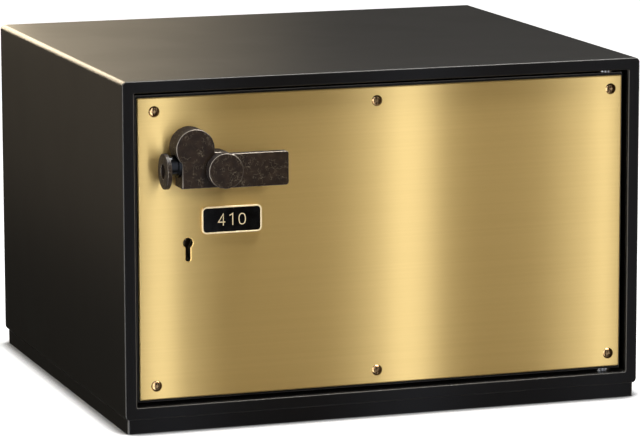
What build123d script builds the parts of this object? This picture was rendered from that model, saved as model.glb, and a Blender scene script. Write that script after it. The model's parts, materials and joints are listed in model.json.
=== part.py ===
from build123d import *
import os
from math import sqrt

# A home safe: a folded steel body on a low plinth, and a recessed steel door faced with a brass plate.
# Millimetres. X runs to the right, Y to the back, Z up; the origin is the middle of the underside.

# Overall size
body_width = 450.0
body_depth = 400.0
overall_height = 290.0

# Body sheet
shell_wall = 3.0
shell_corner = 4.0
front_arris = 1.2
frame_face = 10.0
opening_corner = 1.0
back_recess = 2.0

# Plinth and floor anchors
plinth_height = 12.0
plinth_inset = 2.0
plinth_wall = 2.0
plinth_corner = 3.0
anchor_radius = 6.5
anchor_spacing_x = 300.0
anchor_spacing_y = 250.0
anchor_sleeve_wall = 3.0
wall_anchor_spacing = 200.0
wall_anchor_height = 60.0

# Door frame inside the front face
jamb_depth = 21.0
jamb_wall = 3.0
stop_width = 5.0
stop_depth = 6.0
stop_clear_of_bolt = 6.5
stop_gap = 0.3

# Door leaf
plate_recess = 5.5
plate_thickness = 2.0
plate_gap_x = 4.1
plate_gap_z = 4.7
plate_corner = 1.0
plate_bevel = 0.8
slab_thickness = 6.0
slab_gap = 2.5
hinge_side_gap = 3.0
slab_arris = 0.6

# Brass plate screws
plate_screw_inset_left = 14.0
plate_screw_inset_right = 10.0
plate_screw_middle_shift = -6.5
plate_screw_inset_z = 11.3
plate_screw_head_radius = 4.6
plate_screw_head_height = 2.6
plate_screw_socket = 2.8
plate_screw_shank_radius = 2.5
plate_screw_length = 4.4

# Hinge
hinge_inset_x = 15.0
hinge_depth = 15.0
hinge_pin_radius = 4.0
hinge_pin_fit = 0.05
hinge_pin_grip = 18.0
hinge_block_height = 25.0
hinge_block_left = 10.0
hinge_block_back = 11.0
hinge_block_front = 5.0
bush_wall = 1.5
bush_collar = 1.5
bush_collar_radius = 5.9
washer_radius = 7.0
washer_play = 0.2

# Dead bar on the hinge side
dead_bar_thickness = 4.0
dead_bar_reach = 4.0
dead_bar_from_hinge = 12.0
dead_bar_behind_frame = 2.0
dead_bar_length = 162.0

# Live bolts and their carriage
bolt_radius = 8.0
bolt_throw = 12.0
bolt_from_slab_end = 41.5
bolt_clear_of_frame = 0.5
bolt_tip_behind_edge = 3.0
bolt_length = 47.5
bolt_bevel = 1.0
bolt_slot_depth = 22.0
bolt_pin_radius = 2.5
bolt_fit = 0.06
carriage_thickness = 4.0
carriage_bar_width = 32.0
carriage_end_margin = 10.0
carriage_arm_width = 32.0
carriage_arm_margin = 10.0

# Bolt guide and the studs that carry the carriage
guide_thickness = 4.0
guide_from_edge = 7.5
guide_back_margin = 4.5
guide_end_margin = 15.0
stud_radius = 4.0
stud_head_radius = 6.5
stud_head_height = 3.0
stud_play = 0.3
stud_from_carriage_edge = 10.0
stud_spacing = 70.0

# Latch casting on the brass plate, set out from the handle's hub
hub_from_opening = 69.5
hub_above_middle = 66.2
hub_radius = 14.5
hub_proud = 0.8
lobe_radius = 16.3
lobe_left_of_hub = 22.8
lobe_above_hub = 17.6
casting_left_of_hub = 34.2
casting_depth = 21.0
casting_floor = 2.0
casting_round = 1.0

# Handle
handle_gap = 0.4
handle_thickness = 8.0
handle_length = 53.3
handle_height = 28.0
handle_corner = 2.5
handle_round = 0.8
boss_radius = 10.0
turning_fit = 0.05
spindle_radius = 5.0
spindle_in_hub = 24.0
spindle_neck_radius = 3.5
lever_pin_radius = 1.5
lever_pin_height = 3.0
lever_pin_inset = 1.0

# Crank on the inner end of the spindle
thrust_washer = 1.5
thrust_washer_radius = 8.0
crank_radius = 9.5
crank_thickness = 5.0
crank_pin_radius = 3.0
crank_eye_radius = 5.0
crank_slot_clearance = 0.35
crank_pin_past_carriage = 2.0
clip_thickness = 1.2
clip_radius = 5.2
clip_groove = 0.7
clip_mouth = 3.5
spindle_end = 0.8

# Push button beside the casting
thumb_radius = 14.6
thumb_thickness = 4.0
thumb_hole_radius = 6.0
thumb_left_of_hub = 48.9
thumb_height_off_plate = 15.2
thumb_round = 0.7
barrel_radius = 8.5
barrel_above_hub = 4.0
barrel_height_off_plate = 11.2
barrel_length = 16.0
button_travel = 5.0
button_rod_radius = 4.0
rod_tip_gap = 0.6
notch_clearance = 0.35
pocket_fit = 0.08
pocket_past_barrel = 9.0
collar_thickness = 2.5
collar_wall = 1.7
spring_wall = 1.0
spring_play = 0.5
stop_screw_radius = 2.0
stop_screw_left_of_hub = 16.8
stop_slot_depth = 2.0
stop_slot_play = 0.3

# Screws that hold the casting from inside the door, as places from the hub
casting_screw_places = [(-lobe_left_of_hub, lobe_above_hub), (-28.0, -9.4), (-17.3, -9.4)]
casting_screw_radius = 2.5
casting_screw_head_radius = 4.5
casting_screw_head_height = 3.5
casting_screw_socket = 2.5
casting_screw_in_casting = 12.0

# Keyhole and key lock
keyhole_from_opening = 45.9
keyhole_above_middle = 3.8
keyhole_radius = 4.2
keyhole_slot_width = 4.2
keyhole_drop = 15.4
keyhole_inner_clearance = 0.5
keyhole_arris = 0.4
lock_case_left = 26.8
lock_case_right = 39.2
lock_case_below = 26.0
lock_case_above = 22.0
lock_case_depth = 10.5
lock_case_wall = 2.0
lock_lid_thickness = 1.8
lock_boss_radius = 3.5
lock_screw_radius = 1.5
lock_screw_head_radius = 2.8
lock_screw_head_height = 1.6
lock_screw_socket = 1.5
lock_screw_in_slab = 4.0
key_bolt_left = 9.2
key_bolt_right = 29.2
key_bolt_below = 22.0
key_bolt_height = 33.0
key_bolt_thickness = 3.0
key_bolt_travel = 8.0
key_bolt_play = 0.2
talon_radius = 5.0
stump_radius = 3.0
stump_from_keyhole = 24.2
stump_below_keyhole = 4.1
stump_clearance = 0.3
lever_count = 3
lever_leaf = 0.9
lever_gap = 0.15
lever_left = 18.0
lever_right = 8.0
lever_low = 3.0
lever_high = 18.0
lever_belly = 7.0
lever_post_radius = 2.0
lever_post_left = 14.5
lever_post_above = 13.9

# Inner cover of the door
cover_wall = 1.5
cover_depth = 34.5
cover_margin = 4.5
cover_margin_z = 7.5
cover_from_hinge = 14.0
cover_hole_clearance = 1.0
cover_corner = 2.0
post_radius = 5.0
post_margin = 8.0
post_margin_left = 17.5
cover_screw_radius = 2.0
cover_screw_head_radius = 4.0
cover_screw_head_height = 2.4
cover_screw_socket = 2.0
cover_screw_in_post = 10.0

# Number plate
number_width = 51.2
number_height = 22.4
number_corner = 4.3
number_from_opening = 82.7
number_above_middle = 21.7
number_thickness = 1.5
number_rim_width = 1.3
number_rim_thickness = 2.3
number_rim_round = 0.5

# Planes and edges that follow from the sizes above
front = -body_depth / 2
back = body_depth / 2
floor_top = plinth_height + shell_wall
middle = (plinth_height + overall_height) / 2
body_height = overall_height - plinth_height
opening_width = body_width - 2 * frame_face
opening_height = body_height - 2 * frame_face
opening_left = -opening_width / 2
opening_right = opening_width / 2
opening_bottom = middle - opening_height / 2
opening_top = middle + opening_height / 2
jamb_back = front + jamb_depth
frame_back = jamb_back + jamb_wall
plate_face = front + plate_recess
slab_face = plate_face + plate_thickness
slab_back = slab_face + slab_thickness
slab_left = opening_left + slab_gap
slab_right = opening_right - hinge_side_gap
slab_bottom = opening_bottom + slab_gap
slab_top = opening_top - slab_gap
plate_left = opening_left + plate_gap_x
plate_right = opening_right - plate_gap_x
plate_bottom = opening_bottom + plate_gap_z
plate_top = opening_top - plate_gap_z
hinge_x = opening_right - hinge_inset_x
hinge_y = front + hinge_depth

# Mechanism places
hub_x = opening_left + hub_from_opening
hub_z = middle + hub_above_middle
casting_face = plate_face - casting_depth
boss_bottom = plate_face - casting_floor
handle_back = casting_face - handle_gap
crank_throw_radius = bolt_throw / sqrt(2)
crank_pin_x = hub_x + bolt_throw / 2
crank_pin_z = hub_z - bolt_throw / 2
crank_front = slab_back + thrust_washer
crank_back = crank_front + crank_thickness
bolt_y = frame_back + bolt_clear_of_frame + bolt_radius
bolt_tip = slab_left + bolt_tip_behind_edge
bolt_spacing = slab_top - bolt_from_slab_end - middle
bolt_heights = [middle - bolt_spacing, middle, middle + bolt_spacing]
carriage_front = bolt_y - carriage_thickness / 2
carriage_back = bolt_y + carriage_thickness / 2
carriage_left = bolt_tip + bolt_length - bolt_slot_depth
carriage_right = carriage_left + carriage_bar_width
barrel_y = plate_face - barrel_height_off_plate
barrel_z = hub_z + barrel_above_hub
thumb_left = hub_x - thumb_left_of_hub
thumb_right = thumb_left + thumb_thickness
barrel_end = thumb_right + barrel_length
casting_left = hub_x - casting_left_of_hub
pocket_end = barrel_end + pocket_past_barrel
rod_tip = hub_x - boss_radius - rod_tip_gap
stop_screw_x = hub_x - stop_screw_left_of_hub
keyhole_x = opening_left + keyhole_from_opening
keyhole_z = middle + keyhole_above_middle
stump_x = keyhole_x + stump_from_keyhole
stump_z = keyhole_z - stump_below_keyhole
lock_case_back = slab_back + lock_case_depth
lock_lid_front = lock_case_back - lock_lid_thickness
key_bolt_back = lock_lid_front - key_bolt_play
key_bolt_front = key_bolt_back - key_bolt_thickness
cover_left = slab_left + cover_margin
cover_right = hinge_x - cover_from_hinge
cover_bottom = slab_bottom + cover_margin_z
cover_top = slab_top - cover_margin_z
cover_back = slab_back + cover_depth
cover_inside = cover_back - cover_wall


def block(x0, x1, y0, y1, z0, z1):
    """A rectangular block between three pairs of planes."""
    return Pos((x0 + x1) / 2, (y0 + y1) / 2, (z0 + z1) / 2) * Box(x1 - x0, y1 - y0, z1 - z0)


def rod_x(radius, x0, x1, y, z):
    return Pos((x0 + x1) / 2, y, z) * Rot(0, 90, 0) * Cylinder(radius, x1 - x0)


def rod_y(radius, y0, y1, x, z):
    return Pos(x, (y0 + y1) / 2, z) * Rot(90, 0, 0) * Cylinder(radius, y1 - y0)


def rod_z(radius, z0, z1, x, y):
    return Pos(x, y, (z0 + z1) / 2) * Cylinder(radius, z1 - z0)


def frontal(profile, y0, y1):
    """A profile drawn as seen from the front, made solid from depth y0 to depth y1."""
    return extrude(Plane.XZ.offset(-y1) * profile, y1 - y0)


def rounded_frontal(x0, x1, z0, z1, corner, y0, y1):
    shape = Pos((x0 + x1) / 2, (z0 + z1) / 2) * RectangleRounded(x1 - x0, z1 - z0, corner)
    return frontal(shape, y0, y1)


def front_edges(part):
    return part.faces().sort_by(Axis.Y)[0].edges()


def one_part(pieces):
    """Several separate solids that share one node."""
    return Compound(children=[solid for piece in pieces for solid in piece.solids()])


def domed_screw(head_radius, head_height, socket, shank_radius, length):
    """A screw standing on its shank, with its domed head above the plane z = 0."""
    dome_radius = (head_radius**2 + head_height**2) / (2 * head_height)
    dome = Pos(0, 0, head_height - dome_radius) * Sphere(dome_radius)
    head = dome & (Pos(0, 0, head_height / 2) * Cylinder(head_radius, head_height))
    shank = Pos(0, 0, -length / 2) * Cylinder(shank_radius, length)
    key = extrude(Pos(0, 0, head_height / 2) * RegularPolygon(socket / 2, 6, False), head_height)
    return head + shank - key


def facing_front(screw, x, y, z):
    return Pos(x, y, z) * Rot(90, 0, 0) * screw


def facing_back(screw, x, y, z):
    return Pos(x, y, z) * Rot(-90, 0, 0) * screw


def body_shell():
    half = body_width / 2
    outer = rounded_frontal(-half, half, plinth_height, overall_height, shell_corner, front, back)
    inner = rounded_frontal(
        -half + shell_wall, half - shell_wall, floor_top, overall_height - shell_wall,
        shell_corner - shell_wall, front + shell_wall, back,
    )
    opening = rounded_frontal(
        opening_left, opening_right, opening_bottom, opening_top, opening_corner, front, front + shell_wall,
    )
    shell = outer - inner - opening
    shell = fillet(front_edges(shell), front_arris)
    for x, y in anchor_places():
        shell -= rod_z(anchor_radius, plinth_height, floor_top, x, y)
    return shell


def anchor_places():
    half_x, half_y = anchor_spacing_x / 2, anchor_spacing_y / 2
    return [(x, y) for x in (-half_x, half_x) for y in (-half_y, half_y)]


def back_panel():
    half = body_width / 2 - shell_wall
    face = back - back_recess
    panel = rounded_frontal(
        -half, half, floor_top, overall_height - shell_wall, shell_corner - shell_wall,
        face - shell_wall, face,
    )
    for x in (-wall_anchor_spacing / 2, wall_anchor_spacing / 2):
        panel -= rod_y(anchor_radius, face - shell_wall, face, x, middle + wall_anchor_height)
    return panel


def plinth():
    half_x = body_width / 2 - plinth_inset
    half_y = body_depth / 2 - plinth_inset
    outline = RectangleRounded(2 * half_x, 2 * half_y, plinth_corner)
    tray = extrude(outline, plinth_height)
    hollow = RectangleRounded(
        2 * (half_x - plinth_wall), 2 * (half_y - plinth_wall), plinth_corner - plinth_wall
    )
    tray -= Pos(0, 0, plinth_wall) * extrude(hollow, plinth_height)
    for x, y in anchor_places():
        tray -= rod_z(anchor_radius, 0, plinth_wall, x, y)
    return tray


def anchor_sleeves():
    ends = (plinth_wall, plinth_height)
    outer = anchor_radius + anchor_sleeve_wall
    return one_part(
        rod_z(outer, *ends, x, y) - rod_z(anchor_radius, *ends, x, y) for x, y in anchor_places()
    )


def door_frame():
    """Jamb returns behind the front face, with the rear flange that the bolts lock behind."""
    half = body_width / 2 - shell_wall
    corner = shell_corner - shell_wall
    front_of_jamb = front + shell_wall
    returns = rounded_frontal(
        opening_left - jamb_wall, opening_right + jamb_wall,
        opening_bottom - jamb_wall, opening_top + jamb_wall,
        opening_corner + jamb_wall, front_of_jamb, jamb_back,
    )
    flange = rounded_frontal(
        -half, half, floor_top, overall_height - shell_wall, corner, jamb_back, frame_back,
    )
    opening = rounded_frontal(
        opening_left, opening_right, opening_bottom, opening_top, opening_corner, front_of_jamb, frame_back,
    )
    bush_hole = rod_z(hinge_pin_radius + bush_wall, floor_top, overall_height - shell_wall, hinge_x, hinge_y)
    return returns + flange - opening - bush_hole


def stop_ranges():
    """The door stops lie between the live bolts, which swing past them."""
    clear = bolt_radius + stop_clear_of_bolt
    return [(low + clear, high - clear) for low, high in zip(bolt_heights, bolt_heights[1:])]


def door_stops():
    y0 = slab_back + stop_gap
    return one_part(
        block(opening_left, opening_left + stop_width, y0, y0 + stop_depth, z0, z1)
        for z0, z1 in stop_ranges()
    )


def hinge_ends():
    """For each hinge pin: the frame's face, the door's edge, and the way out of the door."""
    return [(opening_bottom, slab_bottom, -1), (opening_top, slab_top, 1)]


def upright_tube(outer, inner, z_a, z_b):
    low, high = min(z_a, z_b), max(z_a, z_b)
    tube = rod_z(outer, low, high, hinge_x, hinge_y)
    return tube - rod_z(inner, low, high, hinge_x, hinge_y) if inner else tube


def hinge_bushes():
    bore = hinge_pin_radius + hinge_pin_fit
    bushes = []
    for face, _, way in hinge_ends():
        outside = face + way * jamb_wall
        sleeve = upright_tube(hinge_pin_radius + bush_wall, bore, face, outside)
        collar = upright_tube(bush_collar_radius, bore, outside, outside + way * bush_collar)
        bushes.append(sleeve + collar)
    return one_part(bushes)


def pin_range(face, edge, way):
    return edge - way * hinge_pin_grip, face + way * (jamb_wall + bush_collar)


def hinge_pins():
    return one_part(
        upright_tube(hinge_pin_radius, None, *pin_range(face, edge, way)) for face, edge, way in hinge_ends()
    )


def hinge_washers():
    return one_part(
        upright_tube(washer_radius, hinge_pin_radius + hinge_pin_fit, edge, face - way * washer_play)
        for face, edge, way in hinge_ends()
    )


def hinge_block_space(edge, way):
    low, high = sorted((edge, edge - way * hinge_block_height))
    return block(
        hinge_x - hinge_block_left, slab_right,
        hinge_y - hinge_block_front, hinge_y + hinge_block_back, low, high,
    )


def hinge_blocks():
    return one_part(
        hinge_block_space(edge, way) - upright_tube(hinge_pin_radius, None, *pin_range(face, edge, way))
        for face, edge, way in hinge_ends()
    )


def keyhole_profile(clearance=0.0):
    radius = keyhole_radius + clearance
    width = keyhole_slot_width + 2 * clearance
    straight = keyhole_drop + clearance - width / 2
    slot = Pos(keyhole_x, keyhole_z - straight / 2) * Rectangle(width, straight)
    end = Pos(keyhole_x, keyhole_z - straight) * Circle(width / 2)
    return Pos(keyhole_x, keyhole_z) * Circle(radius) + slot + end


def keyhole_cut(y0, y1, clearance=0.0):
    return frontal(keyhole_profile(clearance), y0, y1)


def plate_screw_places():
    columns = (
        plate_left + plate_screw_inset_left,
        plate_screw_middle_shift,
        plate_right - plate_screw_inset_right,
    )
    rows = (plate_bottom + plate_screw_inset_z, plate_top - plate_screw_inset_z)
    return [(x, z) for x in columns for z in rows]


def casting_screw_centres():
    return [(hub_x + dx, hub_z + dz) for dx, dz in casting_screw_places]


def lock_screw_places():
    inset = lock_boss_radius + lock_case_wall / 2
    columns = (keyhole_x - lock_case_left + inset, keyhole_x + lock_case_right - inset)
    rows = (keyhole_z - lock_case_below + inset, keyhole_z + lock_case_above - inset)
    return [(x, z) for x in columns for z in rows]


def door_slab():
    slab = block(slab_left, slab_right, slab_face, slab_back, slab_bottom, slab_top)
    slab = fillet(front_edges(slab), slab_arris)
    slab -= rod_y(spindle_radius + turning_fit, slab_face, slab_back, hub_x, hub_z)
    slab -= keyhole_cut(slab_face, slab_back, keyhole_inner_clearance)
    for x, z in plate_screw_places():
        slab -= rod_y(plate_screw_shank_radius, slab_face, plate_face + plate_screw_length, x, z)
    for x, z in casting_screw_centres():
        slab -= rod_y(casting_screw_radius, slab_face, slab_back, x, z)
    for x, z in lock_screw_places():
        slab -= rod_y(lock_screw_radius, slab_back - lock_screw_in_slab, slab_back, x, z)
    for _, edge, way in hinge_ends():
        slab -= hinge_block_space(edge, way)
    return slab


def brass_plate():
    plate = rounded_frontal(
        plate_left, plate_right, plate_bottom, plate_top, plate_corner, plate_face, slab_face,
    )
    plate = chamfer(front_edges(plate), plate_bevel)
    plate -= keyhole_cut(plate_face, slab_face)
    keyhole_edge = plate.faces().sort_by(Axis.Y)[0].inner_wires()[0].edges()
    plate = chamfer(keyhole_edge, keyhole_arris)
    plate -= rod_y(spindle_radius + turning_fit, plate_face, slab_face, hub_x, hub_z)
    for x, z in plate_screw_places():
        plate -= rod_y(plate_screw_shank_radius, plate_face, slab_face, x, z)
    for x, z in casting_screw_centres():
        plate -= rod_y(casting_screw_radius, plate_face, slab_face, x, z)
    return plate


def plate_screws():
    screw = domed_screw(
        plate_screw_head_radius, plate_screw_head_height, plate_screw_socket,
        plate_screw_shank_radius, plate_screw_length,
    )
    return one_part(facing_front(screw, x, plate_face, z) for x, z in plate_screw_places())


def number_place():
    return opening_left + number_from_opening, middle + number_above_middle


def number_plate():
    x, z = number_place()
    shape = RectangleRounded(
        number_width - 2 * number_rim_width, number_height - 2 * number_rim_width,
        number_corner - number_rim_width,
    )
    return frontal(Pos(x, z) * shape, plate_face - number_thickness, plate_face)


def number_rim():
    x, z = number_place()
    outer = RectangleRounded(number_width, number_height, number_corner)
    inner = RectangleRounded(
        number_width - 2 * number_rim_width, number_height - 2 * number_rim_width,
        number_corner - number_rim_width,
    )
    rim = frontal(Pos(x, z) * (outer - inner), plate_face - number_rim_thickness, plate_face)
    return fillet(front_edges(rim), number_rim_round)


def latch_casting():
    """Round lobe above a body that ends round the handle's hub."""
    body_length = hub_x - casting_left
    body = Pos(casting_left + body_length / 2, hub_z) * Rectangle(body_length, 2 * hub_radius)
    end = Pos(hub_x, hub_z) * Circle(hub_radius)
    lobe = Pos(hub_x - lobe_left_of_hub, hub_z + lobe_above_hub) * Circle(lobe_radius)
    casting = frontal(body + end + lobe, casting_face, plate_face)
    casting = fillet(front_edges(casting), casting_round)
    casting -= rod_y(boss_radius + turning_fit, casting_face, boss_bottom, hub_x, hub_z)
    casting -= rod_y(spindle_radius + turning_fit, boss_bottom, plate_face, hub_x, hub_z)
    casting -= rod_x(barrel_radius + pocket_fit, casting_left - lobe_radius, pocket_end, barrel_y, barrel_z)
    casting -= rod_x(button_rod_radius + turning_fit, pocket_end, hub_x, barrel_y, barrel_z)
    for x, z in casting_screw_centres():
        casting -= rod_y(casting_screw_radius, plate_face - casting_screw_in_casting, plate_face, x, z)
    casting -= rod_y(stop_screw_radius, barrel_y, plate_face, stop_screw_x, barrel_z)
    return casting


def casting_screws():
    """Screws from inside the door into the back of the casting."""
    length = slab_back - plate_face + casting_screw_in_casting
    screw = domed_screw(
        casting_screw_head_radius, casting_screw_head_height, casting_screw_socket,
        casting_screw_radius, length,
    )
    return one_part(facing_back(screw, x, slab_back, z) for x, z in casting_screw_centres())


def button_collar():
    x0 = casting_left - collar_thickness
    bore = barrel_radius + pocket_fit
    ring = rod_x(bore + collar_wall, x0, casting_left, barrel_y, barrel_z)
    lobe = rod_y(lobe_radius, casting_face, plate_face, hub_x - lobe_left_of_hub, hub_z + lobe_above_hub)
    return ring - rod_x(bore, x0, casting_left, barrel_y, barrel_z) - lobe


def thumb_flange():
    """Round flange that the thumb presses, set lower and further out than the barrel behind it."""
    thumb_y = plate_face - thumb_height_off_plate
    flange = rod_x(thumb_radius, thumb_left, thumb_right, thumb_y, hub_z)
    flange = fillet(flange.edges().filter_by(GeomType.CIRCLE), thumb_round)
    return flange - rod_x(thumb_hole_radius, thumb_left, thumb_right, thumb_y, hub_z)


def button_barrel():
    """Barrel that slides in the casting, with the rod that drops into the hub's notch."""
    barrel = rod_x(barrel_radius, thumb_right, barrel_end, barrel_y, barrel_z)
    rod = rod_x(button_rod_radius, barrel_end, rod_tip, barrel_y, barrel_z)
    slot_end = stop_screw_radius + stop_slot_play
    rod_back = barrel_y + button_rod_radius
    slot = block(
        stop_screw_x - button_travel - slot_end, stop_screw_x + slot_end,
        rod_back - stop_slot_depth, rod_back, barrel_z - slot_end, barrel_z + slot_end,
    )
    return barrel + rod - slot


def button_spring():
    inner = button_rod_radius + spring_play
    ring = rod_x(inner + spring_wall, barrel_end, pocket_end, barrel_y, barrel_z)
    return ring - rod_x(inner, barrel_end, pocket_end, barrel_y, barrel_z)


def button_stop_screw():
    tip = barrel_y + button_rod_radius - stop_slot_depth + stop_slot_play
    return rod_y(stop_screw_radius, tip, plate_face, stop_screw_x, barrel_z)


def notch(angle):
    """Where the button's rod enters the hub, for a handle turned through an angle."""
    radius = button_rod_radius + notch_clearance
    depth = button_travel - rod_tip_gap + notch_clearance
    cut = rod_x(radius, -2 * boss_radius, -boss_radius + depth, 0, barrel_above_hub)
    return Pos(hub_x, barrel_y, hub_z) * Rot(0, -angle, 0) * cut


def handle_lever():
    hub = rod_y(hub_radius, handle_back - handle_thickness - hub_proud, handle_back, hub_x, hub_z)
    hub = fillet(front_edges(hub), handle_round)
    end = hub_x + handle_length
    bar = block(
        hub_x, end, handle_back - handle_thickness, handle_back,
        hub_z - handle_height / 2, hub_z + handle_height / 2,
    )
    bar = fillet(bar.edges().filter_by(Axis.Y).group_by(Axis.X)[-1], handle_corner)
    bar = fillet(bar.edges().filter_by(lambda edge: edge.center().X > hub_x + handle_corner), handle_round)
    boss = rod_y(boss_radius, handle_back, boss_bottom - turning_fit, hub_x, hub_z)
    boss = boss - notch(0) - notch(90)
    lever = hub + bar + boss
    lever -= rod_y(spindle_radius, boss_bottom - spindle_in_hub, boss_bottom, hub_x, hub_z)
    return lever - lever_pin()


def lever_pin():
    """Cross pin that locks the handle to its spindle."""
    y = boss_bottom - lever_pin_height
    reach = boss_radius - lever_pin_inset
    return rod_x(lever_pin_radius, hub_x - reach, hub_x + reach, y, hub_z)


def spindle():
    y0 = boss_bottom - spindle_in_hub
    y1 = crank_back + clip_thickness + spindle_end
    shaft = rod_y(spindle_radius, y0, crank_front, hub_x, hub_z)
    neck = rod_y(spindle_neck_radius, crank_front, y1, hub_x, hub_z)
    groove = rod_y(spindle_neck_radius, crank_back, crank_back + clip_thickness, hub_x, hub_z)
    return shaft + (neck - groove) + clip_seat() - lever_pin()


def clip_seat():
    return rod_y(spindle_neck_radius - clip_groove, crank_back, crank_back + clip_thickness, hub_x, hub_z)


def spindle_clip():
    ring = rod_y(clip_radius, crank_back, crank_back + clip_thickness, hub_x, hub_z)
    mouth = block(
        hub_x - clip_mouth / 2, hub_x + clip_mouth / 2, crank_back, crank_back + clip_thickness,
        hub_z, hub_z + clip_radius,
    )
    return ring - clip_seat() - mouth


def thrust_ring():
    ring = rod_y(thrust_washer_radius, slab_back, crank_front, hub_x, hub_z)
    return ring - rod_y(spindle_radius + turning_fit, slab_back, crank_front, hub_x, hub_z)


def crank():
    disc = Pos(hub_x, hub_z) * Circle(crank_radius)
    eye = Pos(crank_pin_x, crank_pin_z) * Circle(crank_eye_radius)
    arm = frontal(disc + eye, crank_front, crank_back)
    arm -= rod_y(spindle_neck_radius, crank_front, crank_back, hub_x, hub_z)
    return arm - rod_y(crank_pin_radius, crank_front, crank_back, crank_pin_x, crank_pin_z)


def crank_pin():
    return rod_y(
        crank_pin_radius, crank_front, carriage_back + crank_pin_past_carriage, crank_pin_x, crank_pin_z,
    )


def slot_x(x0, x1, z, radius):
    """A slot seen from the front, running from a round end about x0 to one about x1."""
    length = x1 - x0
    return Pos((x0 + x1) / 2, z) * SlotOverall(length + 2 * radius, 2 * radius)


def stud_places():
    x = carriage_left + stud_from_carriage_edge
    return [(x, middle - stud_spacing / 2), (x, middle + stud_spacing / 2)]


def bolt_carriage():
    """Flat plate that joins the bolts, with slots for the crank, the studs and the key lock's stump."""
    half = bolt_spacing + carriage_end_margin
    bar = Pos((carriage_left + carriage_right) / 2, middle) * Rectangle(carriage_bar_width, 2 * half)
    arm_low = stump_z - carriage_arm_margin
    arm_high = hub_z + carriage_arm_margin
    arm = Pos(carriage_right + carriage_arm_width / 2, (arm_low + arm_high) / 2)
    plate = bar + arm * Rectangle(carriage_arm_width, arm_high - arm_low)

    slot_radius = crank_pin_radius + crank_slot_clearance
    slot_low = hub_z - crank_throw_radius
    slot_span = crank_pin_z - slot_low
    crank_slot = Pos(crank_pin_x, (slot_low + crank_pin_z) / 2) * Rot(0, 0, 90)
    plate -= crank_slot * SlotOverall(slot_span + 2 * slot_radius, 2 * slot_radius)
    for x, z in stud_places():
        plate -= slot_x(x, x + bolt_throw, z, stud_radius + stud_play)

    stump_space = stump_radius + stump_clearance
    plate -= slot_x(stump_x, stump_x + bolt_throw, stump_z, stump_space)
    for x in (stump_x, stump_x + bolt_throw):
        rise = Pos(x, stump_z + key_bolt_travel / 2) * Rot(0, 0, 90)
        plate -= rise * SlotOverall(key_bolt_travel + 2 * stump_space, 2 * stump_space)

    carriage = frontal(plate, carriage_front, carriage_back)
    for z in bolt_heights:
        carriage -= rod_y(bolt_pin_radius, carriage_front, carriage_back, bolt_pin_x(), z)
    return carriage


def bolt_pin_x():
    return carriage_left + bolt_slot_depth / 2


def live_bolts():
    bolts = []
    for z in bolt_heights:
        bolt = rod_x(bolt_radius, bolt_tip, bolt_tip + bolt_length, bolt_y, z)
        tip = bolt.faces().sort_by(Axis.X)[0]
        bolt = chamfer(tip.edges(), bolt_bevel)
        bolt -= block(
            carriage_left, bolt_tip + bolt_length, carriage_front, carriage_back,
            z - bolt_radius, z + bolt_radius,
        )
        bolt -= rod_y(bolt_pin_radius, bolt_y - bolt_radius, bolt_y + bolt_radius, bolt_pin_x(), z)
        bolts.append(bolt)
    return one_part(bolts)


def bolt_pins():
    reach = sqrt(bolt_radius**2 - bolt_pin_radius**2)
    return one_part(
        rod_y(bolt_pin_radius, bolt_y - reach, bolt_y + reach, bolt_pin_x(), z) for z in bolt_heights
    )


def bolt_guide():
    x0 = slab_left + guide_from_edge
    half = bolt_spacing + guide_end_margin
    guide = block(
        x0, x0 + guide_thickness, slab_back, bolt_y + bolt_radius + guide_back_margin,
        middle - half, middle + half,
    )
    for z in bolt_heights:
        guide -= rod_x(bolt_radius + bolt_fit, x0, x0 + guide_thickness, bolt_y, z)
    return guide


def guide_studs():
    studs = []
    for x, z in stud_places():
        shoulder = rod_y(stud_head_radius, slab_back, carriage_front - stud_play, x, z)
        head_front = carriage_back + stud_play
        neck = rod_y(stud_radius, carriage_front - stud_play, head_front, x, z)
        head = rod_y(stud_head_radius, head_front, head_front + stud_head_height, x, z)
        studs.append(shoulder + neck + head)
    return one_part(studs)


def dead_bar():
    """Angle bar that passes behind the hinge-side jamb when the door is shut."""
    x0 = hinge_x - dead_bar_from_hinge
    x1 = opening_right + dead_bar_reach
    y0 = frame_back + dead_bar_behind_frame
    z0, z1 = middle - dead_bar_length / 2, middle + dead_bar_length / 2
    web = block(x0, x0 + dead_bar_thickness, slab_back, y0 + dead_bar_thickness, z0, z1)
    return web + block(x0, x1, y0, y0 + dead_bar_thickness, z0, z1)


def lock_case_box(y0, y1, inset=0.0):
    return block(
        keyhole_x - lock_case_left + inset, keyhole_x + lock_case_right - inset, y0, y1,
        keyhole_z - lock_case_below + inset, keyhole_z + lock_case_above - inset,
    )


def key_lock_case():
    floor = slab_back + lock_case_wall
    case = lock_case_box(slab_back, lock_lid_front) - lock_case_box(floor, lock_lid_front, lock_case_wall)
    case -= keyhole_cut(slab_back, floor, keyhole_inner_clearance)
    for x, z in lock_screw_places():
        case += rod_y(lock_boss_radius, slab_back, lock_lid_front, x, z)
        case -= rod_y(lock_screw_radius, slab_back, lock_lid_front, x, z)
    return case - lever_post()


def key_lock_lid():
    lid = lock_case_box(lock_lid_front, lock_case_back)
    space = stump_radius + stump_clearance
    rise = Pos(stump_x, stump_z + key_bolt_travel / 2) * Rot(0, 0, 90)
    lid -= frontal(rise * SlotOverall(key_bolt_travel + 2 * space, 2 * space), lock_lid_front, lock_case_back)
    for x, z in lock_screw_places():
        lid -= rod_y(lock_screw_radius, lock_lid_front, lock_case_back, x, z)
    return lid


def key_lock_screws():
    length = lock_case_depth + lock_screw_in_slab
    screw = domed_screw(
        lock_screw_head_radius, lock_screw_head_height, lock_screw_socket, lock_screw_radius, length,
    )
    return one_part(facing_back(screw, x, lock_case_back, z) for x, z in lock_screw_places())


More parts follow.
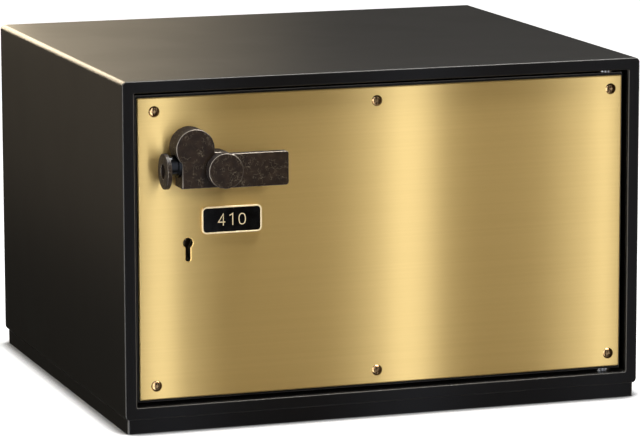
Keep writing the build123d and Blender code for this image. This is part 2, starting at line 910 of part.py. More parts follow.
def key_bolt():
    low = keyhole_z - key_bolt_below
    bolt = block(
        keyhole_x + key_bolt_left, keyhole_x + key_bolt_right, key_bolt_front, key_bolt_back,
        low, low + key_bolt_height,
    )
    bolt -= rod_y(talon_radius, key_bolt_front, key_bolt_back, keyhole_x + key_bolt_left, keyhole_z)
    return bolt - rod_y(stump_radius, key_bolt_front, key_bolt_back, stump_x, stump_z)


def key_bolt_stump():
    return rod_y(stump_radius, key_bolt_front, carriage_back + crank_pin_past_carriage, stump_x, stump_z)


def lever_post():
    x, z = keyhole_x - lever_post_left, keyhole_z + lever_post_above
    return rod_y(lever_post_radius, slab_back, lock_lid_front, x, z)


def lock_levers():
    """Flat leaves on one post, each with a belly cut round the key."""
    shape = Pos(keyhole_x + (lever_right - lever_left) / 2, keyhole_z + (lever_low + lever_high) / 2)
    leaf = shape * Rectangle(lever_left + lever_right, lever_high - lever_low)
    leaf -= Pos(keyhole_x, keyhole_z) * Circle(lever_belly)
    leaves = []
    for i in range(lever_count):
        y0 = slab_back + lock_case_wall + lever_gap + i * (lever_leaf + lever_gap)
        leaves.append(frontal(leaf, y0, y0 + lever_leaf) - lever_post())
    return one_part(leaves)


def inner_cover():
    outer = rounded_frontal(
        cover_left, cover_right, cover_bottom, cover_top, cover_corner, slab_back, cover_back,
    )
    inner = rounded_frontal(
        cover_left + cover_wall, cover_right - cover_wall, cover_bottom + cover_wall, cover_top - cover_wall,
        cover_corner - cover_wall, slab_back, cover_inside,
    )
    cover = outer - inner
    for z in bolt_heights:
        cover -= rod_x(bolt_radius + cover_hole_clearance, cover_left, cover_left + cover_wall, bolt_y, z)
    for x, z in post_places():
        cover -= rod_y(cover_screw_radius, cover_inside, cover_back, x, z)
    return cover


def post_places():
    inset = cover_wall + post_margin
    columns = (
        cover_left + cover_wall + post_margin_left,
        (cover_left + cover_right) / 2,
        cover_right - inset,
    )
    rows = (cover_bottom + inset, cover_top - inset)
    return [(x, z) for x in columns for z in rows]


def cover_posts():
    return one_part(
        rod_y(post_radius, slab_back, cover_inside, x, z)
        - rod_y(cover_screw_radius, cover_inside - cover_screw_in_post, cover_inside, x, z)
        for x, z in post_places()
    )


def cover_screws():
    screw = domed_screw(
        cover_screw_head_radius, cover_screw_head_height, cover_screw_socket, cover_screw_radius,
        cover_wall + cover_screw_in_post,
    )
    return one_part(facing_back(screw, x, cover_back, z) for x, z in post_places())


sub_parts = {
    "body_shell": body_shell,
    "back_panel": back_panel,
    "plinth": plinth,
    "anchor_sleeves": anchor_sleeves,
    "door_frame": door_frame,
    "door_stops": door_stops,
    "hinge_bushes": hinge_bushes,
    "hinge_pins": hinge_pins,
    "hinge_washers": hinge_washers,
    "hinge_blocks": hinge_blocks,
    "dead_bar": dead_bar,
    "door_slab": door_slab,
    "brass_plate": brass_plate,
    "plate_screws": plate_screws,
    "number_plate": number_plate,
    "number_rim": number_rim,
    "latch_casting": latch_casting,
    "casting_screws": casting_screws,
    "handle_lever": handle_lever,
    "lever_pin": lever_pin,
    "spindle": spindle,
    "spindle_clip": spindle_clip,
    "thrust_washer": thrust_ring,
    "crank": crank,
    "crank_pin": crank_pin,
    "thumb_flange": thumb_flange,
    "button_barrel": button_barrel,
    "button_collar": button_collar,
    "button_spring": button_spring,
    "button_stop_screw": button_stop_screw,
    "bolt_carriage": bolt_carriage,
    "live_bolts": live_bolts,
    "bolt_pins": bolt_pins,
    "bolt_guide": bolt_guide,
    "guide_studs": guide_studs,
    "key_lock_case": key_lock_case,
    "key_lock_lid": key_lock_lid,
    "key_lock_screws": key_lock_screws,
    "key_bolt": key_bolt,
    "key_bolt_stump": key_bolt_stump,
    "lever_post": lever_post,
    "lock_levers": lock_levers,
    "inner_cover": inner_cover,
    "cover_posts": cover_posts,
    "cover_screws": cover_screws,
}

os.makedirs("parts", exist_ok=True)
for name, make in sub_parts.items():
    export_step(make(), f"parts/{name}.step")
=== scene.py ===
import json
from math import cos, pi, radians, sin

import bmesh
import bpy
from mathutils import Matrix, Vector, noise


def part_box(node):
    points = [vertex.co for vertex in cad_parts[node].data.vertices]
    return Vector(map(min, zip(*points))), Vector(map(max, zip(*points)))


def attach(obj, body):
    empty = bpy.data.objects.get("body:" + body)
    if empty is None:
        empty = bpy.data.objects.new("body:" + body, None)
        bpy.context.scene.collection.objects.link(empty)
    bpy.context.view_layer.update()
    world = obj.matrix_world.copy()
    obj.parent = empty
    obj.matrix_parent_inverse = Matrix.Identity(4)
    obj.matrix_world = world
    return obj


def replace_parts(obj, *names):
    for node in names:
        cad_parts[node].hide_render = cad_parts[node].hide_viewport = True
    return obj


# A black home safe with a brushed brass door. Metres; X to the right, Y to the back, Z up.
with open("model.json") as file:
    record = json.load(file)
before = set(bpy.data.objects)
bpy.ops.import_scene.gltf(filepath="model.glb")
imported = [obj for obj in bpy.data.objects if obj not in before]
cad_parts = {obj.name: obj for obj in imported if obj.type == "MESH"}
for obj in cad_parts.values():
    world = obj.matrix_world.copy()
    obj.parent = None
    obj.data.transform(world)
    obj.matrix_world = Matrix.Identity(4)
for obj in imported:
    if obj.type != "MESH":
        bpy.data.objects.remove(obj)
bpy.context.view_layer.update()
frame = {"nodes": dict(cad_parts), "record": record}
nodes = frame["nodes"]
plate_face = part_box("brass_plate")[0].y

# Camera, as the angles of its view, its distance and its aim from the middle of the body
view_yaw = radians(18.58)
view_pitch = radians(9.88)
view_roll = radians(-0.15)
view_distance = 3.412
view_reach = 50.0
view_lens = 219.9
film_width = 36.0
aim_height = 0.145
aim_right = 0.0088
aim_up = -0.0135


# Node trees

def add(tree, kind, inputs=None, **settings):
    """A shader node with its settings, and its inputs as plain values or as other nodes' outputs."""
    made = tree.nodes.new("ShaderNode" + kind)
    for name, value in settings.items():
        setattr(made, name, value)
    fill_sockets(tree, made, inputs or {})
    return made


def fill_sockets(tree, made, inputs):
    """Each input gets its plain value, or a link from another node's output."""
    for key, value in inputs.items():
        if isinstance(value, bpy.types.NodeSocket):
            tree.links.new(value, made.inputs[key])
        else:
            made.inputs[key].default_value = value


def maths(tree, operation, first, second=0.0, clamp=False):
    inputs = {0: first, 1: second}
    return add(tree, "Math", inputs, operation=operation, use_clamp=clamp).outputs[0]


def spread(tree, value, low, high, to_low=0.0, to_high=1.0):
    """A value mapped from one range to another, and held at its ends."""
    inputs = {"Value": value, "From Min": low, "From Max": high, "To Min": to_low, "To Max": to_high}
    return add(tree, "MapRange", inputs, interpolation_type="SMOOTHSTEP").outputs["Result"]


def blend_colours(tree, factor, first, second):
    """Two colours blended by a factor. The first may be another node's output."""
    under = first if isinstance(first, bpy.types.NodeSocket) else (*first, 1.0)
    inputs = {"Factor": factor, 6: under, 7: (*second, 1.0)}
    return add(tree, "Mix", inputs, data_type="RGBA").outputs[2]


def facing_ways(tree):
    """How far a surface faces towards X, Y and Z of the object, each from -1 to 1."""
    return add(tree, "SeparateXYZ", {0: add(tree, "TexCoord").outputs["Normal"]}).outputs


def start_group(name, inputs, outputs):
    """A node group with named inputs, given as (kind, value), and named outputs, given as kinds."""
    tree = bpy.data.node_groups.new(name, "ShaderNodeTree")
    for label, (kind, value) in inputs.items():
        socket = tree.interface.new_socket(label, in_out="INPUT", socket_type="NodeSocket" + kind)
        socket.default_value = value
    for label, kind in outputs.items():
        tree.interface.new_socket(label, in_out="OUTPUT", socket_type="NodeSocket" + kind)
    return tree, tree.nodes.new("NodeGroupInput").outputs, tree.nodes.new("NodeGroupOutput").inputs


def place_group(tree, group, **inputs):
    made = tree.nodes.new("ShaderNodeGroup")
    made.node_tree = group
    fill_sockets(tree, made, inputs)
    return made.outputs


# Effects that several finishes share

def grain_group():
    """Soft noise in the object's own space, as wide, deep and tall as Size says, in metres."""
    tree, given, out = start_group(
        "grain",
        {
            "Size": ("Vector", (0.01, 0.01, 0.01)),
            "Detail": ("Float", 3.0),
            "Low": ("Float", 0.3),
            "High": ("Float", 0.7),
        },
        {"Value": "Float"},
    )
    place = add(tree, "TexCoord").outputs["Object"]
    scaled = add(tree, "VectorMath", {0: place, 1: given["Size"]}, operation="DIVIDE").outputs[0]
    inputs = {"Vector": scaled, "Scale": 1.0, "Detail": given["Detail"]}
    cloud = add(tree, "TexNoise", inputs).outputs["Fac"]
    tree.links.new(spread(tree, cloud, given["Low"], given["High"]), out["Value"])
    return tree


def worn_edge_group():
    """A mask of the outer edges, as wide as Width and broken up by patches, for rubbed wear and for
    painted highlight, and a rounded normal.
    """
    tree, given, out = start_group(
        "edge wear and highlight",
        {
            "Width": ("Float", 0.0006),
            "Patch": ("Vector", (0.004, 0.004, 0.004)),
            "Wear": ("Float", 0.5),
        },
        {"Mask": "Float", "Rounded": "Vector"},
    )
    rounded = add(tree, "Bevel", {"Radius": given["Width"]}, samples=4).outputs["Normal"]
    flat = add(tree, "NewGeometry").outputs["Normal"]
    facing = add(tree, "VectorMath", {0: rounded, 1: flat}, operation="DOT_PRODUCT").outputs["Value"]
    turned = maths(tree, "SUBTRACT", 1.0, facing)
    edge = spread(tree, turned, 0.01, 0.12)
    patches = place_group(tree, grain, Size=given["Patch"], Detail=4.0, Low=0.25, High=0.6)["Value"]
    patchy_edges = maths(tree, "MULTIPLY", edge, patches)
    tree.links.new(maths(tree, "MULTIPLY", patchy_edges, given["Wear"], clamp=True), out["Mask"])
    tree.links.new(rounded, out["Rounded"])
    return tree


def brushing_group():
    """Fine lines along X, as tall as Line and as long as Length, with broader streaks among them."""
    tree, given, out = start_group(
        "brushing",
        {"Line": ("Float", 0.00025), "Length": ("Float", 0.03)},
        {"Lines": "Float", "Streaks": "Float"},
    )
    streak_height = maths(tree, "MULTIPLY", given["Line"], 9.0)
    streak_length = maths(tree, "MULTIPLY", given["Length"], 4.0)

    def lying(length, height, **noise_inputs):
        size = add(tree, "CombineXYZ", {"X": length, "Y": height, "Z": height}).outputs[0]
        return place_group(tree, grain, Size=size, **noise_inputs)["Value"]

    lines = lying(given["Length"], given["Line"], Detail=3.0, Low=0.2, High=0.8)
    streaks = lying(streak_length, streak_height, Detail=4.0, Low=0.25, High=0.75)
    tree.links.new(lines, out["Lines"])
    tree.links.new(streaks, out["Streaks"])
    return tree


grain = grain_group()
edge_wear_and_highlight = worn_edge_group()
brushing = brushing_group()


# Finishes

def start_finish(name, **fixed):
    """A material with one Principled shader, whose unchanging values are set on its own sockets."""
    material = bpy.data.materials.new(name)
    material.use_nodes = True
    tree = material.node_tree
    shader = tree.nodes["Principled BSDF"]
    for label, value in fixed.items():
        shader.inputs[label.replace("_", " ")].default_value = value
    return material, tree, shader.inputs


def even_grain(tree, size, detail, low, high):
    """Grain of the same size each way, between the two levels of its noise that come out as 0 and 1."""
    cube = (size, size, size)
    return place_group(tree, grain, Size=cube, Detail=detail, Low=low, High=high)["Value"]


def raise_surface(tree, shader, height, depth, distance, rounded=None):
    """Bumps of the given depth, from a height between 0 and 1, over rounded edges if there are any."""
    bump = add(tree, "Bump", {"Height": height, "Strength": depth, "Distance": distance})
    if rounded is not None:
        tree.links.new(rounded, bump.inputs["Normal"])
    tree.links.new(bump.outputs["Normal"], shader["Normal"])


def turned_off_axes(tree):
    """A mask of a square piece's rounded corners, which face between two axes, but never down: where a
    painted highlight goes.
    """
    ways = facing_ways(tree)
    x, y, z = [maths(tree, "ABSOLUTE", way) for way in ways]
    most = maths(tree, "MAXIMUM", maths(tree, "MAXIMUM", x, y), z)
    corners = spread(tree, most, 0.78, 0.97, 1.0, 0.0)
    not_down = spread(tree, ways["Z"], -0.5, -0.1)
    return maths(tree, "MULTIPLY", corners, not_down)


def black_paint():
    """Satin powder coat, with pale grey along its edges: partly rubbed wear in patches, partly a painted
    highlight, which also lies on the rounded corners that don't face down.
    """
    coat = (0.0042, 0.0037, 0.0035)
    wear_and_highlight_grey = (0.20, 0.19, 0.172)
    material, tree, shader = start_finish("black_paint", Specular_IOR_Level=0.16)
    clouds = even_grain(tree, size=0.09, detail=2.0, low=0.3, high=0.7)
    powder = even_grain(tree, size=0.0006, detail=2.0, low=0.25, high=0.75)
    edges = place_group(tree, edge_wear_and_highlight, Width=0.0010, Patch=(0.03, 0.03, 0.03), Wear=0.6)
    # Painted highlight: pale grey on the rounded corners at half strength, never on those that face down.
    corners = maths(tree, "MULTIPLY", turned_off_axes(tree), 0.5)
    wear_and_painted_highlight = maths(tree, "MAXIMUM", edges["Mask"], corners)
    # Pale grey on the edges, partly rubbed wear and partly painted highlight.
    tree.links.new(blend_colours(tree, wear_and_painted_highlight, coat, wear_and_highlight_grey), shader["Base Color"])
    tree.links.new(spread(tree, clouds, 0.0, 1.0, 0.335, 0.355), shader["Roughness"])
    raise_surface(tree, shader, powder, 0.10, 0.00006, edges["Rounded"])
    return material


def brushed_brass():
    """Lacquered brass, brushed from side to side, so that each light shows as an upright band."""
    dull, clear = (0.738, 0.510, 0.182), (0.762, 0.530, 0.193)
    material, tree, shader = start_finish("brushed_brass", Metallic=0.80, Anisotropic=1.0)
    tangent = add(tree, "Tangent", direction_type="RADIAL", axis="X").outputs[0]
    tree.links.new(tangent, shader["Tangent"])
    brushed = place_group(tree, brushing, Line=0.00022, Length=0.05)
    tree.links.new(blend_colours(tree, brushed["Streaks"], dull, clear), shader["Base Color"])
    tree.links.new(spread(tree, brushed["Lines"], 0.0, 1.0, 0.275, 0.295), shader["Roughness"])
    edges = place_group(tree, edge_wear_and_highlight, Width=0.0007)
    raise_surface(tree, shader, brushed["Lines"], 0.02, 0.00003, edges["Rounded"])
    return material


def polished_bronze():
    """The plate screws: polished, with brown tarnish in spots."""
    polished, tarnished = (0.30, 0.19, 0.09), (0.10, 0.055, 0.025)
    material, tree, shader = start_finish("polished_bronze", Metallic=1.0)
    stain = even_grain(tree, size=0.002, detail=4.0, low=0.35, high=0.75)
    tree.links.new(blend_colours(tree, stain, polished, tarnished), shader["Base Color"])
    tree.links.new(spread(tree, stain, 0.0, 1.0, 0.16, 0.34), shader["Roughness"])
    return material


def dark_casting(name, rim_highlight):
    """Browned cast iron, with thin pale marks in patches, pale bare iron on its edges that is partly wear
    and partly painted highlight, a painted highlight on the front rim above and on the left, and painted
    shade with a reddish painted reflection of the brass on its side walls.
    """
    dark_brown, light_brown = (0.0125, 0.0068, 0.0034), (0.0225, 0.0130, 0.0068)
    # Painted shade and a painted reflection of the brass: side walls that don't face the front are darker
    # and redder.
    wall_shade_and_reflection = (0.0100, 0.0040, 0.0020)
    mark_colour = (0.095, 0.076, 0.050)
    bare_iron_and_highlight = (0.42, 0.37, 0.30)
    material, tree, shader = start_finish(name, Specular_IOR_Level=0.20)
    blotches = even_grain(tree, size=0.007, detail=4.0, low=0.35, high=0.68)
    wander = even_grain(tree, size=0.0030, detail=2.0, low=0.0, high=1.0)
    patches = even_grain(tree, size=0.008, detail=2.0, low=0.45, high=0.58)
    pits = even_grain(tree, size=0.0009, detail=3.0, low=0.30, high=0.72)
    patchy_edges = place_group(tree, edge_wear_and_highlight, Width=0.0008, Patch=(0.008, 0.008, 0.008), Wear=1.0)["Mask"]

    ways = facing_ways(tree)
    front = maths(tree, "ABSOLUTE", ways["Y"])
    past_wall = spread(tree, front, 0.15, 0.40)
    before_face = spread(tree, front, 0.86, 0.96, 1.0, 0.0)
    front_round = maths(tree, "MULTIPLY", past_wall, before_face)
    # Painted highlight: the front rim is made pale where it faces up and to the left, towards the light.
    facing_upper_left = spread(tree, maths(tree, "SUBTRACT", ways["Z"], ways["X"]), -0.3, 0.35, 0.15, 1.0)
    rim = maths(tree, "MULTIPLY", maths(tree, "MULTIPLY", front_round, facing_upper_left), rim_highlight)
    wear_and_painted_highlight = maths(tree, "MAXIMUM", patchy_edges, rim)

    from_middle = maths(tree, "ABSOLUTE", maths(tree, "SUBTRACT", wander, 0.5))
    lines = spread(tree, from_middle, 0.008, 0.036, 1.0, 0.0)
    marks = maths(tree, "MULTIPLY", lines, patches)

    wall = spread(tree, front, 0.15, 0.55, 1.0, 0.0)
    browned = blend_colours(tree, blotches, dark_brown, light_brown)
    # The side walls take the painted shade and reflection; the same mask makes them rougher.
    wall_shaded = blend_colours(tree, wall, browned, wall_shade_and_reflection)
    marked = blend_colours(tree, marks, wall_shaded, mark_colour)
    # Pale bare iron on the edges and the rim: partly wear, partly painted highlight.
    tree.links.new(blend_colours(tree, wear_and_painted_highlight, marked, bare_iron_and_highlight), shader["Base Color"])
    tree.links.new(spread(tree, wear_and_painted_highlight, 0.0, 1.0, 0.0, 0.9), shader["Metallic"])
    pitted = spread(tree, pits, 0.0, 1.0, 0.34, 0.50)
    rougher_wall = maths(tree, "MULTIPLY", wall, 0.30)
    tree.links.new(maths(tree, "ADD", pitted, rougher_wall), shader["Roughness"])
    raise_surface(tree, shader, pits, 0.25, 0.0002)
    return material


def gloss_black():
    """Black lacquer of the button's barrel, its collar and the number plate."""
    black, hazy_black = (0.0012, 0.0012, 0.0014), (0.0030, 0.0030, 0.0032)
    material, tree, shader = start_finish("gloss_black", Specular_IOR_Level=0.2)
    haze = even_grain(tree, size=0.006, detail=2.0, low=0.3, high=0.7)
    tree.links.new(blend_colours(tree, haze, black, hazy_black), shader["Base Color"])
    tree.links.new(spread(tree, haze, 0.0, 1.0, 0.10, 0.16), shader["Roughness"])
    return material


def turned_metal(name, light, dark, smooth, rough):
    """Machined metal with faint tool lines and a little tarnish."""
    material, tree, shader = start_finish(name, Metallic=1.0)
    tooled = place_group(tree, brushing, Line=0.0002, Length=0.004)["Lines"]
    tarnish = even_grain(tree, size=0.012, detail=4.0, low=0.4, high=0.75)
    tree.links.new(blend_colours(tree, tarnish, light, dark), shader["Base Color"])
    tree.links.new(spread(tree, tooled, 0.0, 1.0, smooth, rough), shader["Roughness"])
    raise_surface(tree, shader, tooled, 0.1, 0.00003)
    return material


def printed_gold():
    """The number, and the rim round its plate."""
    gold, pale_gold = (0.78, 0.62, 0.36), (0.86, 0.71, 0.45)
    material, tree, shader = start_finish("printed_gold", Metallic=0.35)
    fleck = even_grain(tree, size=0.0008, detail=3.0, low=0.3, high=0.7)
    tree.links.new(blend_colours(tree, fleck, gold, pale_gold), shader["Base Color"])
    tree.links.new(spread(tree, fleck, 0.0, 1.0, 0.32, 0.45), shader["Roughness"])
    return material


finishes = {
    "black_paint": black_paint(),
    "brushed_brass": brushed_brass(),
    "bronze": polished_bronze(),
    "dark_casting": dark_casting("dark_casting", 0.48),
    "gloss_black": gloss_black(),
    "bright_steel": turned_metal("bright_steel", (0.60, 0.59, 0.57), (0.42, 0.41, 0.39), 0.20, 0.32),
    "plated_steel": turned_metal("plated_steel", (0.56, 0.55, 0.50), (0.46, 0.43, 0.36), 0.30, 0.44),
    "lock_brass": turned_metal("lock_brass", (0.70, 0.54, 0.27), (0.52, 0.38, 0.18), 0.24, 0.36),
}
number_gold = printed_gold()
flange_casting = dark_casting("flange_casting", 0.0)


def dress_nodes():
    """Each CAD node takes the finish of its slot in the record."""
    for row in frame["record"]["subparts"]:
        mesh = nodes[row["node"]].data
        mesh.materials.clear()
        mesh.materials.append(finishes[row["material_slot"]])
    nodes["number_rim"].data.materials[0] = number_gold


def finish_piece(name, mesh, material, body):
    """A piece added round the CAD nodes, which rides on a body."""
    piece = bpy.data.objects.new(name, mesh)
    bpy.context.scene.collection.objects.link(piece)
    mesh.materials.append(material)
    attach(piece, body)
    return piece


# Skins of the castings

cast_voxel = 0.0004
cast_depth = 0.00016
cast_lump = 0.0032
cast_finer = 2.7
cast_broad_share = 0.7
cast_fine_share = 0.35


def cast_relief(place):
    """How deep a casting's skin lies at a place, from 0 to 1: broad dents with finer ones in them."""
    broad = noise.noise(place / cast_lump)
    fine = noise.noise(place / cast_lump * cast_finer)
    relief = 0.5 + cast_broad_share * broad + cast_fine_share * fine
    return min(max(relief, 0.0), 1.0)


def cast_skin(node, body, finish):
    """A copy of a cast piece with a fine even mesh, dented inwards as sand casting leaves it."""
    source = bpy.data.objects.new(node + "_source", nodes[node].data.copy())
    bpy.context.scene.collection.objects.link(source)
    remesh = source.modifiers.new("even", "REMESH")
    remesh.mode = "VOXEL"
    remesh.voxel_size = cast_voxel
    remesh.use_smooth_shade = True
    ready = source.evaluated_get(bpy.context.evaluated_depsgraph_get())
    mesh = bpy.data.meshes.new_from_object(ready)
    bpy.data.objects.remove(source)
    ways = [vertex.normal.copy() for vertex in mesh.vertices]
    for vertex, way in zip(mesh.vertices, ways):
        vertex.co -= way * (cast_depth * cast_relief(vertex.co))
    mesh.materials.clear()
    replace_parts(finish_piece(node + "_skin", mesh, finish, body), node)


# Number, in raised strokes that are drawn in X and Z as seen from the front

digit_height = 0.0095
digit_width = 0.0062
digit_gap = 0.0026
digit_stroke = 0.00078
digit_proud = 0.00015
nought_steps = 40
nought_squareness = 0.06
least_mitre = 0.5


def digit_one(x, z):
    top = z + digit_height
    stem = x + digit_width * 0.62
    flag = x + digit_width * 0.18
    return [(flag, top - digit_height * 0.16), (stem, top), (stem, z)]


def digit_nought(x, z):
    """A narrow rounded figure: an ellipse with its sides drawn a little straighter."""
    half_width = (digit_width - digit_stroke) / 2
    half_height = (digit_height - digit_stroke) / 2
    points = []
    for i in range(nought_steps):
        angle = 2 * pi * i / nought_steps
        squareness = 1 + nought_squareness * sin(2 * angle) ** 2
        across = half_width * cos(angle) * squareness
        up = half_height * sin(angle) * squareness
        points.append((x + digit_width / 2 + across, z + digit_height / 2 + up))
    return points


def digit_four(x, z):
    stem = x + digit_width * 0.74
    bar = z + digit_height * 0.30
    return [(stem, z), (stem, z + digit_height), (x + digit_stroke / 2, bar), (x + digit_width, bar)]


def stroke_edges(points, closed):
    """The two edges of a stroke of even width along a line of points, mitred at its corners."""
    left, right = [], []
    count = len(points)
    for i, point in enumerate(points):
        ways = []
        if closed or i > 0:
            ways.append((point - points[i - 1]).normalized())
        if closed or i < count - 1:
            ways.append((points[(i + 1) % count] - point).normalized())
        way = sum(ways, Vector((0.0, 0.0))).normalized()
        side = Vector((-way.y, way.x)) * digit_stroke / 2
        widened = side / max(way.dot(ways[0]), least_mitre)
        left.append(point + widened)
        right.append(point - widened)
    return left, right


def stroke_mesh(points, closed, y_back, y_front):
    """A raised flat stroke along a line of points, from depth y_back out to y_front."""
    drawn = bmesh.new()
    rings = []
    for a, b in zip(*stroke_edges([Vector(point) for point in points], closed)):
        corners = ((a, y_back), (a, y_front), (b, y_front), (b, y_back))
        rings.append([drawn.verts.new((point.x, y, point.y)) for point, y in corners])
    followers = rings[1:] + rings[:1] if closed else rings[1:]
    for ring, following in zip(rings, followers):
        for i in range(4):
            j = (i + 1) % 4
            drawn.faces.new((ring[i], ring[j], following[j], following[i]))
    if not closed:
        drawn.faces.new(rings[0][::-1])
        drawn.faces.new(rings[-1])
    bmesh.ops.recalc_face_normals(drawn, faces=drawn.faces)
    mesh = bpy.data.meshes.new("drawn")
    drawn.to_mesh(mesh)
    drawn.free()
    return mesh


def number_digits():
    """A plain number in the middle of its plate."""
    low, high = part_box("number_plate")
    middle = (low + high) / 2
    digits = (
        ("digit_four", digit_four, False),
        ("digit_one", digit_one, False),
        ("digit_nought", digit_nought, True),
    )
    width = len(digits) * digit_width + (len(digits) - 1) * digit_gap
    x = middle.x - width / 2
    z = middle.z - digit_height / 2
    for name, draw, closed in digits:
        mesh = stroke_mesh(draw(x, z), closed, low.y, low.y - digit_proud)
        finish_piece(name, mesh, number_gold, "door")
        x += digit_width + digit_gap


# Studio

background_rays = ("Is Camera Ray", "Is Glossy Ray", "Is Transmission Ray")
fill_strength = 0.32
floor_lift = 0.70
floor_half = 9.0
contact_reach = 0.017
white = (1.0, 1.0, 1.0)
warm = (1.0, 0.83, 0.58)


def light_path(tree, *rays):
    """1 for a ray of any of the given kinds, and 0 for the rest."""
    path = add(tree, "LightPath").outputs
    found = path[rays[0]]
    for ray in rays[1:]:
        found = maths(tree, "MAXIMUM", found, path[ray])
    return found


def studio_world():
    """White where it is seen or reflected, and a dim even fill for everything else."""
    world = bpy.data.worlds.new("studio")
    bpy.context.scene.world = world
    world.use_nodes = True
    tree = world.node_tree
    seen = light_path(tree, *background_rays)
    strength = maths(tree, "ADD", maths(tree, "MULTIPLY", seen, 1.0 - fill_strength), fill_strength)
    background = tree.nodes["Background"].inputs
    tree.links.new(strength, background["Strength"])
    background["Color"].default_value = (*white, 1.0)


def flat_sheet(name, corner, across, up, material):
    """A flat four-cornered sheet of the studio, with UVs from its corner across and up."""
    mesh = bpy.data.meshes.new(name)
    corner, across, up = Vector(corner), Vector(across), Vector(up)
    mesh.from_pydata([corner, corner + across, corner + across + up, corner + up], [], [(0, 1, 2, 3)])
    uv = mesh.uv_layers.new(name="place")
    for loop, place in zip(uv.data, ((0, 0), (1, 0), (1, 1), (0, 1))):
        loop.uv = place
    mesh.materials.append(material)
    sheet = bpy.data.objects.new(name, mesh)
    bpy.context.scene.collection.objects.link(sheet)
    return sheet


def studio_floor():
    """A white floor with a painted contact shadow: its colour and its glow darken close to what stands on
    it.
    """
    in_shade, in_light = (0.30, 0.30, 0.30), (0.9, 0.9, 0.9)
    material, tree, shader = start_finish("floor", Roughness=0.9)
    # Painted shade: ambient occlusion darkens the floor's colour and its lift close to the safe.
    open_sky = add(tree, "AmbientOcclusion", {"Distance": contact_reach}, samples=8).outputs["AO"]
    lit = spread(tree, open_sky, 0.5, 1.0)
    tree.links.new(blend_colours(tree, lit, in_shade, in_light), shader["Base Color"])
    shader["Emission Color"].default_value = (*white, 1.0)
    lift = maths(tree, "MULTIPLY", light_path(tree, *background_rays), floor_lift)
    tree.links.new(maths(tree, "MULTIPLY", lift, lit), shader["Emission Strength"])
    corner = (-floor_half, -floor_half, 0.0)
    across, up = (2 * floor_half, 0.0, 0.0), (0.0, 2 * floor_half, 0.0)
    flat_sheet("floor", corner, across, up, material).visible_glossy = False


def light_card(name, corner, across, up, ground, light=white, bands=(), along="up"):
    """A sheet that only reflections see, with bands of light as (place, half width, fade, strength)."""
    material = bpy.data.materials.new(name)
    material.use_nodes = True
    tree = material.node_tree
    tree.nodes.clear()
    parts = add(tree, "SeparateXYZ", {0: add(tree, "UVMap").outputs[0]}).outputs
    share = parts["X" if along == "across" else "Y"]
    length = Vector(across if along == "across" else up).length
    place = maths(tree, "MULTIPLY", share, length)
    total = 0.0
    for middle, half, fade, strength in bands:
        offset = maths(tree, "ABSOLUTE", maths(tree, "SUBTRACT", place, middle))
        band = spread(tree, offset, half, half + fade, strength, 0.0)
        total = maths(tree, "ADD", total, band)
    banded = add(tree, "VectorMath", {0: light, "Scale": total}, operation="SCALE").outputs[0]
    glow = add(tree, "VectorMath", {0: banded, 1: ground}, operation="ADD").outputs[0]
    shining = add(tree, "Emission", {"Color": glow}).outputs[0]
    add(tree, "OutputMaterial", {"Surface": shining})
    sheet = flat_sheet(name, corner, across, up, material)
    for ray in ("camera", "diffuse", "shadow", "transmission", "volume_scatter"):
        setattr(sheet, "visible_" + ray, False)


def area_lamp(name, place, aim, size, power):
    """A square soft lamp that no reflection shows."""
    lamp = bpy.data.lights.new(name, "AREA")
    lamp.shape = "SQUARE"
    lamp.size = size
    lamp.energy = power
    holder = bpy.data.objects.new(name, lamp)
    holder.location = place
    way = Vector(aim) - Vector(place)
    holder.rotation_euler = way.to_track_quat("-Z", "Y").to_euler()
    holder.visible_glossy = False
    bpy.context.scene.collection.objects.link(holder)


def view_axes():
    """The camera's right, up and forward directions, before its small roll."""
    level = cos(view_pitch)
    forward = Vector((sin(view_yaw) * level, cos(view_yaw) * level, -sin(view_pitch)))
    right = forward.cross(Vector((0.0, 0.0, 1.0))).normalized()
    return right, right.cross(forward), forward


def camera_place():
    right, up, forward = view_axes()
    aim = Vector((0.0, 0.0, aim_height)) + right * aim_right + up * aim_up
    return aim - forward * view_distance


def studio_camera():
    right, up, forward = view_axes()
    data = bpy.data.cameras.new("camera")
    data.lens = view_lens
    data.sensor_width = film_width
    data.clip_end = view_reach
    camera = bpy.data.objects.new("camera", data)
    turned = Matrix((right, up, -forward)).transposed() @ Matrix.Rotation(view_roll, 3, "Z")
    camera.matrix_world = Matrix.Translation(camera_place()) @ turned.to_4x4()
    bpy.context.scene.collection.objects.link(camera)
    bpy.context.scene.camera = camera


# Cards of light that the brass, the top and the sides reflect

card_stand_off = 0.225
card_left, card_right = -1.1, 1.3
card_low, card_high = -1.5, 1.5
far_front_y = -1.8
far_depth = 2.42
back_y = 0.62
dim_grey = (0.060, 0.056, 0.048)


def seen_on_card(door_x):
    """Where a light band stands on the front card, for the place on the door that shows it."""
    eye = camera_place()
    run = plate_face - eye.y
    return door_x + card_stand_off * (door_x - eye.x) / run


def front_card():
    """The card before the door: two bands of light for each on the brass, and one for the left edges."""
    ground = (0.085, 0.064, 0.040)
    cool = (0.98, 1.09, 1.32)
    door_bands = [
        (-0.193, 0.005, 0.018, 1.30), (-0.176, 0.0, 0.048, 0.48),
        (0.025, 0.006, 0.028, 0.86), (0.018, 0.0, 0.075, 0.62),
        (0.200, 0.004, 0.015, 1.16), (0.187, 0.0, 0.060, 0.60),
    ]
    edge_band = (-0.42 - card_left, 0.05, 0.04, 6.5)
    bands = [(seen_on_card(x) - card_left, *spreading) for x, *spreading in door_bands]
    corner = (card_left, plate_face - card_stand_off, card_low)
    across, up = (card_right - card_left, 0.0, 0.0), (0.0, 0.0, card_high - card_low)
    light_card("front_card", corner, across, up, ground, cool, [*bands, edge_band], "across")


def left_card():
    """A dim wall beside the safe, which its left side reflects."""
    light = (1.0, 0.80, 0.58)
    corner, across, up = (-0.40, -0.05, -0.6), (0.0, 1.6, 0.0), (0.0, 0.0, 1.8)
    light_card("left_card", corner, across, up, dim_grey, light, [(1.3, 0.58, 0.12, 0.24)])


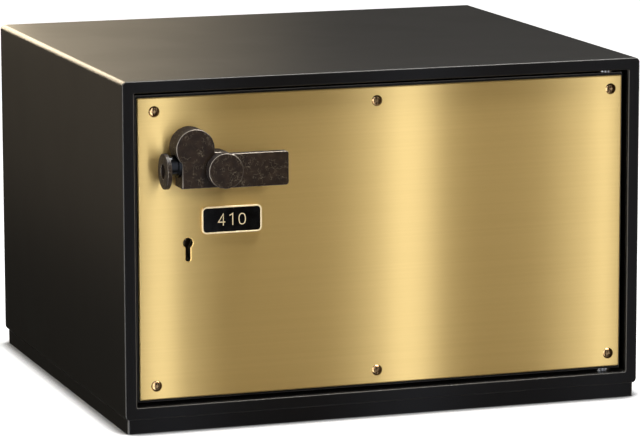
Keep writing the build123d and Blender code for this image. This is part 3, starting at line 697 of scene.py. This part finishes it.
def far_cards():
    """Walls far to the left, right and front, which the opened door reflects past the front card."""
    ground = (0.30, 0.28, 0.25)
    backwards, sideways = (0.0, far_depth, 0.0), (card_right - card_left, 0.0, 0.0)
    up = (0.0, 0.0, card_high - card_low)
    for name, x, across in (
        ("far_left_card", card_left, backwards),
        ("far_right_card", card_right, backwards),
        ("far_front_card", card_left, sideways),
    ):
        light_card(name, (x, far_front_y, card_low), across, up, ground)


def bright_strips():
    """Narrow bright strips beside and above the front, which the rounded edges catch."""
    for name, corner, across, up, strength in (
        ("left_strip", (-0.46, -0.41, -0.3), (0.0, 0.17, 0.0), (0.0, 0.0, 0.7), 6.0),
        ("right_strip", (0.60, -0.06, -0.2), (0.0, 0.18, 0.0), (0.0, 0.0, 0.6), 5.0),
        ("top_strip", (-0.15, -0.42, 1.0), (0.85, 0.0, 0.0), (0.0, 0.42, 0.0), 24.0),
    ):
        light_card(name, corner, across, up, (strength, strength, strength))


def back_cards():
    """Upright cards behind the safe, which its top reflects: a dim one below and a bright one above."""
    light_card(
        "low_back_card", (-1.2, back_y, -0.6), (2.5, 0.0, 0.0), (0.0, 0.0, 0.90),
        dim_grey, warm, [(0.92, 0.10, 0.24, 0.14)],
    )
    light_card(
        "high_back_card", (-1.8, back_y, 0.30), (3.1, 0.0, 0.0), (0.0, 0.0, 1.1),
        (0.18, 0.174, 0.162), warm, [(1.0, 0.61, 0.10, 9.6), (1.0, 0.70, 0.36, 1.05)], "across",
    )


def lamps():
    area_lamp("key_lamp", (0.75, -2.1, 0.95), (0.0, 0.0, 0.15), 0.4, 38.0)
    area_lamp("top_lamp", (-0.2, 0.2, 2.4), (0.0, 0.0, 0.1), 1.8, 28.0)


dress_nodes()
cast_skin("latch_casting", "door", finishes["dark_casting"])
cast_skin("handle_lever", "handle", finishes["dark_casting"])
cast_skin("thumb_flange", "push_button", flange_casting)
number_digits()
studio_world()
studio_floor()
studio_camera()
front_card()
left_card()
far_cards()
bright_strips()
back_cards()
lamps()

bpy.context.scene.view_settings.view_transform = "Standard"
